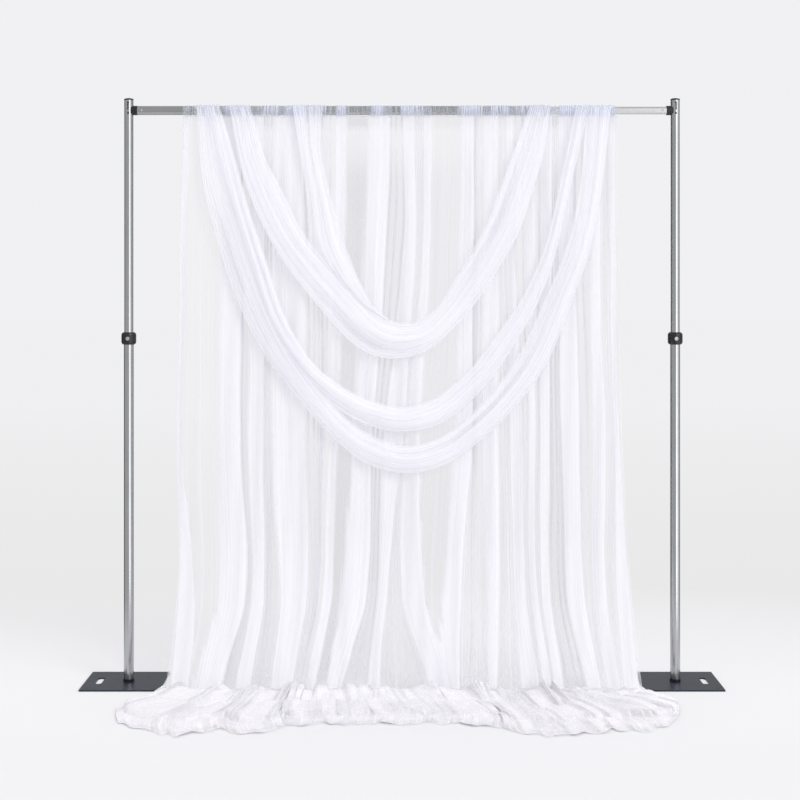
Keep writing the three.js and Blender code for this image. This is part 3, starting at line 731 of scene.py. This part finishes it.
# %% Lines of the swags
upper_lines = [
    (-0.718, 2.406, -0.631, 2.406), (-0.680, 2.196, -0.573, 2.204), (-0.635, 2.038, -0.494, 2.050),
    (-0.556, 1.864, -0.398, 1.868), (-0.456, 1.706, -0.278, 1.735), (-0.332, 1.552, -0.166, 1.619),
    (-0.228, 1.436, -0.091, 1.544), (-0.124, 1.370, -0.037, 1.515), (-0.008, 1.357, 0.008, 1.505),
    (0.116, 1.395, 0.075, 1.515), (0.220, 1.486, 0.149, 1.577), (0.315, 1.598, 0.220, 1.689),
    (0.407, 1.735, 0.299, 1.822), (0.490, 1.884, 0.369, 1.967), (0.544, 2.050, 0.419, 2.100),
    (0.593, 2.225, 0.473, 2.245), (0.618, 2.406, 0.531, 2.406),
]
fan_lines = [
    (-0.456, 2.406, -0.332, 2.406), (-0.432, 2.245, -0.336, 2.245), (-0.407, 2.100, -0.311, 2.100),
    (-0.394, 1.976, -0.278, 1.984), (-0.382, 1.859, -0.245, 1.859), (-0.340, 1.756, -0.207, 1.760),
    (-0.270, 1.664, -0.170, 1.669), (-0.183, 1.586, -0.120, 1.581), (-0.075, 1.519, -0.054, 1.523),
]
middle_lines = [
    (-0.822, 2.406, -0.759, 2.406), (-0.780, 2.162, -0.689, 2.171), (-0.722, 1.955, -0.631, 1.963),
    (-0.656, 1.727, -0.556, 1.743), (-0.581, 1.519, -0.490, 1.544), (-0.473, 1.345, -0.402, 1.386),
    (-0.349, 1.212, -0.320, 1.295), (-0.216, 1.113, -0.195, 1.212), (-0.091, 1.063, -0.083, 1.171),
    (0.012, 1.050, 0.012, 1.158), (0.158, 1.083, 0.124, 1.187), (0.282, 1.175, 0.220, 1.258),
    (0.382, 1.283, 0.315, 1.353), (0.469, 1.415, 0.407, 1.478), (0.564, 1.581, 0.498, 1.610),
    (0.639, 1.789, 0.589, 1.810), (0.689, 2.017, 0.647, 2.038), (0.780, 2.406, 0.722, 2.406),
]
lower_lines = [
    (-0.855, 2.406, -0.784, 2.406), (-0.834, 2.121, -0.734, 2.108), (-0.780, 1.884, -0.639, 1.893),
    (-0.705, 1.644, -0.548, 1.652), (-0.598, 1.415, -0.436, 1.403), (-0.465, 1.229, -0.332, 1.237),
    (-0.299, 1.038, -0.237, 1.117), (-0.154, 0.922, -0.124, 1.038), (0.012, 0.880, 0.012, 0.992),
    (0.178, 0.913, 0.158, 1.030), (0.332, 1.017, 0.282, 1.125), (0.490, 1.175, 0.394, 1.245),
    (0.614, 1.353, 0.498, 1.395), (0.705, 1.581, 0.593, 1.602), (0.780, 1.789, 0.680, 1.810),
    (0.830, 2.038, 0.739, 2.059), (0.871, 2.406, 0.772, 2.406),
]
over_bar = [
    (0.0245, -0.050), (0.0240, -0.020), (0.0215, 0.009),
    (0.0095, 0.0222), (-0.0090, 0.0225), (-0.0222, 0.011),
]

# %% [markdown]
# Each swag is cut at the same height as the drape into two pieces: its ends, which go over the bar,
# and the part below the cut. So two of its rows lie exactly at that height. A slit is a soft opening
# between pleats, placed by how far it lies along the swag and across it.

# %% A swag
end_rows, middle_rows = 5, 142
first_cut, last_cut = end_rows - 1, end_rows + middle_rows - 2
flat_columns, turned_columns = 90, 30
crinkle_height = 2.366


def swag(name, lines, front, pleats, seed, slits, both_ends=True):
    t = np.linspace(0, len(lines) - 1, 1500)
    height = smooth_table(lines, t)[:, [1, 3]].mean(axis=1)
    first_seam = np.interp(-seam_height, -height[:100], t[:100])
    last_seam = np.interp(seam_height, height[-100:], t[-100:]) if both_ends else t[-1]
    t = np.concatenate([
        np.linspace(0, first_seam, end_rows),
        np.linspace(first_seam, last_seam, middle_rows)[1:],
        np.linspace(last_seam, t[-1], end_rows)[1:] if both_ends else []])
    table = smooth_table(lines, t)
    table[[first_cut, last_cut] if both_ends else first_cut, 1::2] = seam_height
    nearest = np.minimum(t, t[-1] - t) if both_ends else t
    fall = np.clip(nearest / 3.0, 0, 1)
    c = np.concatenate([np.linspace(0, 1, flat_columns), np.linspace(1, 0.1, turned_columns)[1:]])
    behind = np.concatenate([np.zeros(flat_columns), np.linspace(0.3, 1, turned_columns - 1)])
    from_edge = np.minimum(c, 1 - c)
    rows, gathers, fades = [], [], []
    for n, (out_x, out_z, in_x, in_z) in enumerate(table):
        wander = rolling(c * 5 + 3 * seed, 0 * c + t[n] * 0.45, int(seed * 10)) - 0.5
        place = np.clip(c + 0.10 * wander * np.sin(np.pi * c), 0, 1)
        pleat = rolling(place * pleats + seed, 0 * c + t[n] * 0.3 + 7, int(seed * 10) + 1)
        fine = rolling(place * pleats * 4.5 + 11, 0 * c + t[n] * 0.35, int(seed * 10) + 2)
        belly = np.sin(np.pi * c) * mix(0.004, 0.014, fall[n])
        y = -front - belly - mix(0.003, 0.008, fall[n]) * pleat - 0.002 * fine
        y = y + behind * mix(0.005, 0.014, fall[n])
        rows.append(np.stack([
            mix(out_x, in_x, 1 - place), pole_line + y, mix(out_z, in_z, 1 - place)], axis=1))
        # painted highlight: the strip is made a little brighter along both its edges
        edge_highlight = np.exp(-from_edge / 0.03)
        opened = sum(np.exp(-((place - at_c) / wide_c) ** 2 - ((t[n] - at_t) / wide_t) ** 2)
                     for at_t, at_c, wide_t, wide_c in slits)
        value = 0.36 + 0.34 * pleat + 0.34 * fine + 0.12 * edge_highlight - 0.75 * opened
        if not both_ends:
            value = value * (1 - 0.8 * ease((t[n] - t[-1] + 2.5) / 2.5))
        gathers.append(value)
        fades.append(0.6 * np.exp(-from_edge / 0.05) * fall[n])
    caps, ends = [[], []], [rows[0], rows[-1]] if both_ends else [rows[0]]
    for depth, up in over_bar:
        for cap, row in zip(caps, ends):
            swell = 1 + (pole_line - row[:, 1] - front) * 5
            turned = row.copy()
            turned[:, 1] = pole_line + depth * swell
            turned[:, 2] = bar_height + up * swell
            cap.append(turned)
    points = np.array(caps[0] + rows + caps[1][::-1])
    gather, faded = ([grid[0]] * len(caps[0]) + grid + [grid[-1]] * len(caps[1])
                     for grid in (gathers, fades))
    crinkled = np.clip((points[:, :, 2] - crinkle_height) / 0.008, 0, 1) * 0.75
    first, last, end = first_cut + len(over_bar), last_cut + len(over_bar), len(points) - 1
    blocks_of = {
        f"scarf_{name}": [(first, last)],
        f"over_{name}": [(0, first)] + [(last, end)] * both_ends,
    }
    pieces = [cloth(label, points, swag_tulle, "tulle_sash", blocks=blocks,
                    gather=gather, pocket=crinkled, faded=faded)
              for label, blocks in blocks_of.items()]
    for piece in pieces:
        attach(piece, "drape")
        if f"swag_{name}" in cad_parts:
            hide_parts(f"swag_{name}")
    return pieces


scarves = {
    "upper": swag("upper", upper_lines, front=0.036, pleats=6, seed=0.4,
                  slits=[(6.2, 0.74, 1.3, 0.07), (13.0, 0.30, 1.2, 0.08)]),
    "fan": swag("fan", fan_lines, front=0.033, pleats=5, seed=4.3,
                slits=[(0.6, 0.5, 1.0, 0.06)], both_ends=False),
    "middle": swag("middle", middle_lines, front=0.036, pleats=4, seed=1.9,
                   slits=[(3.0, 0.3, 2.0, 0.08)]),
    "lower": swag("lower", lower_lines, front=0.034, pleats=6, seed=3.1,
                  slits=[(2.2, 0.75, 1.2, 0.08), (10.5, 0.35, 1.5, 0.08)]),
}

# %% [markdown]
# When the uprights come down the drape has to get shorter, and real net simply folds up on itself.
# Here the hanging piece of each width and the part of each swag below the cut only get a mesh of their
# own; nothing is flattened.
#
# A table lists the flat size of each train. The size of the three widths is an estimate of the real
# cut, at a usual fullness. The sizes of the swags and the train are not: they were set from the sheets
# modelled here, so they match them by design. Real net bunched into a swag is wider.

# %% Own meshes, and the flat size of each train
for piece, header in widths.values():
    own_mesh(piece)
for name, (piece, over) in scarves.items():
    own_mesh(piece)
train_cuts = {"left": (1.35, 0.48, 0.34), "centre": (1.35, 0.40, 0.27), "right": (1.50, 0.56, 0.35)}
for side, pieces in puddles.items():
    wide, *lengths = train_cuts[side]

# %% [markdown]
# The studio is plain: a pale floor that keeps the shadow, an even pale surround, and a soft sun
# from the right. The camera and mirrors, such as the tubes, see the surround at the brightness of
# the picture. Everything else gets the softer light that makes colours come out as they are
# written. Only mirrors see the rest: a bright strip that draws the line on each tube, and dark
# flags at the sides that draw its edges.

# %% World
world = bpy.data.worlds.new("studio")
bpy.context.scene.world = world
world.use_nodes = True
studio = Graph(world.node_tree)
mirrored = studio.node("LightPath", out="Is Glossy Ray")
seen = studio.node("LightPath", out="Is Camera Ray").larger(mirrored).larger(
    studio.node("LightPath", out="Is Transmission Ray"))
direction = studio.place("Generated")
aside, behind = studio.part(direction, "X"), studio.part(direction, "Y")
flags = (studio.between(aside, -0.5, -0.75) + studio.between(aside, 0.5, 0.75) * 0.25) * (
    studio.between(behind, 0.0, 0.2) * studio.between(behind, 0.85, 0.65))
strip = studio.between(aside, 0.10, 0.38) * studio.between(aside, 0.90, 0.74) * (
    studio.between(behind, -0.3, -0.5))
surround = studio.node("Background", {}, {
    "Color": (0.877, 0.877, 0.891, 1),
    "Strength": 1 + mirrored * (strip * 1.9 - 0.32 - flags * 0.66)})
light = studio.node("Background", {}, {"Color": (1.0, 1.0, 1.015, 1), "Strength": 1.0})
studio.show(studio.node("MixShader", {}, {0: seen, 1: light, 2: surround}))

# %% Floor
wide = 60
floor_mesh = bpy.data.meshes.new("floor")
floor_mesh.from_pydata(
    [(-wide, -wide, 0), (wide, -wide, 0), (wide, wide, 0), (-wide, wide, 0)], [], [(0, 1, 2, 3)])
floor = bpy.data.objects.new("floor", floor_mesh)
bpy.context.scene.collection.objects.link(floor)
ground = Finish(
    "pale_floor", Roughness=0.9, Specular_IOR_Level=0.0, Base_Color=(0.80, 0.80, 0.81, 1))
spot = ground.place()
apart = ground.part(spot, "Y")
pale = ground.tint(
    ground.between(apart, 2.5, 14.0), (0.815, 0.815, 0.820, 1), (0.868, 0.868, 0.882, 1))
oval = ground.stretched(spot, (0.45, 1.0, 1.0))
away = ground.node("VectorMath", {"operation": "LENGTH"}, {0: oval}, "Value")
far = ground.between(away, 0.7, 2.4) * ground.between(apart, -1.4, -0.5)
glow = ground.node("Emission", {}, {"Color": pale, "Strength": 1.0})
plain = ground.node("MixShader", {}, {0: far, 1: ground.surface, 2: glow})
mirror_far = ground.between(away, 0.8, 1.5) * ground.node("LightPath", out="Is Glossy Ray")
clear = ground.node("BsdfTransparent")
ground.show(ground.node("MixShader", {}, {0: mirror_far, 1: plain, 2: clear}))
floor_mesh.materials.append(ground.material)

# %% Lamp
sun = bpy.data.objects.new("soft_sun", bpy.data.lights.new("soft_sun", "SUN"))
sun.data.energy = 0.9
sun.data.angle = math.radians(22)
sun.rotation_euler = (math.radians(56), 0, math.radians(42))
bpy.context.scene.collection.objects.link(sun)
bpy.context.scene.view_settings.view_transform = "Standard"
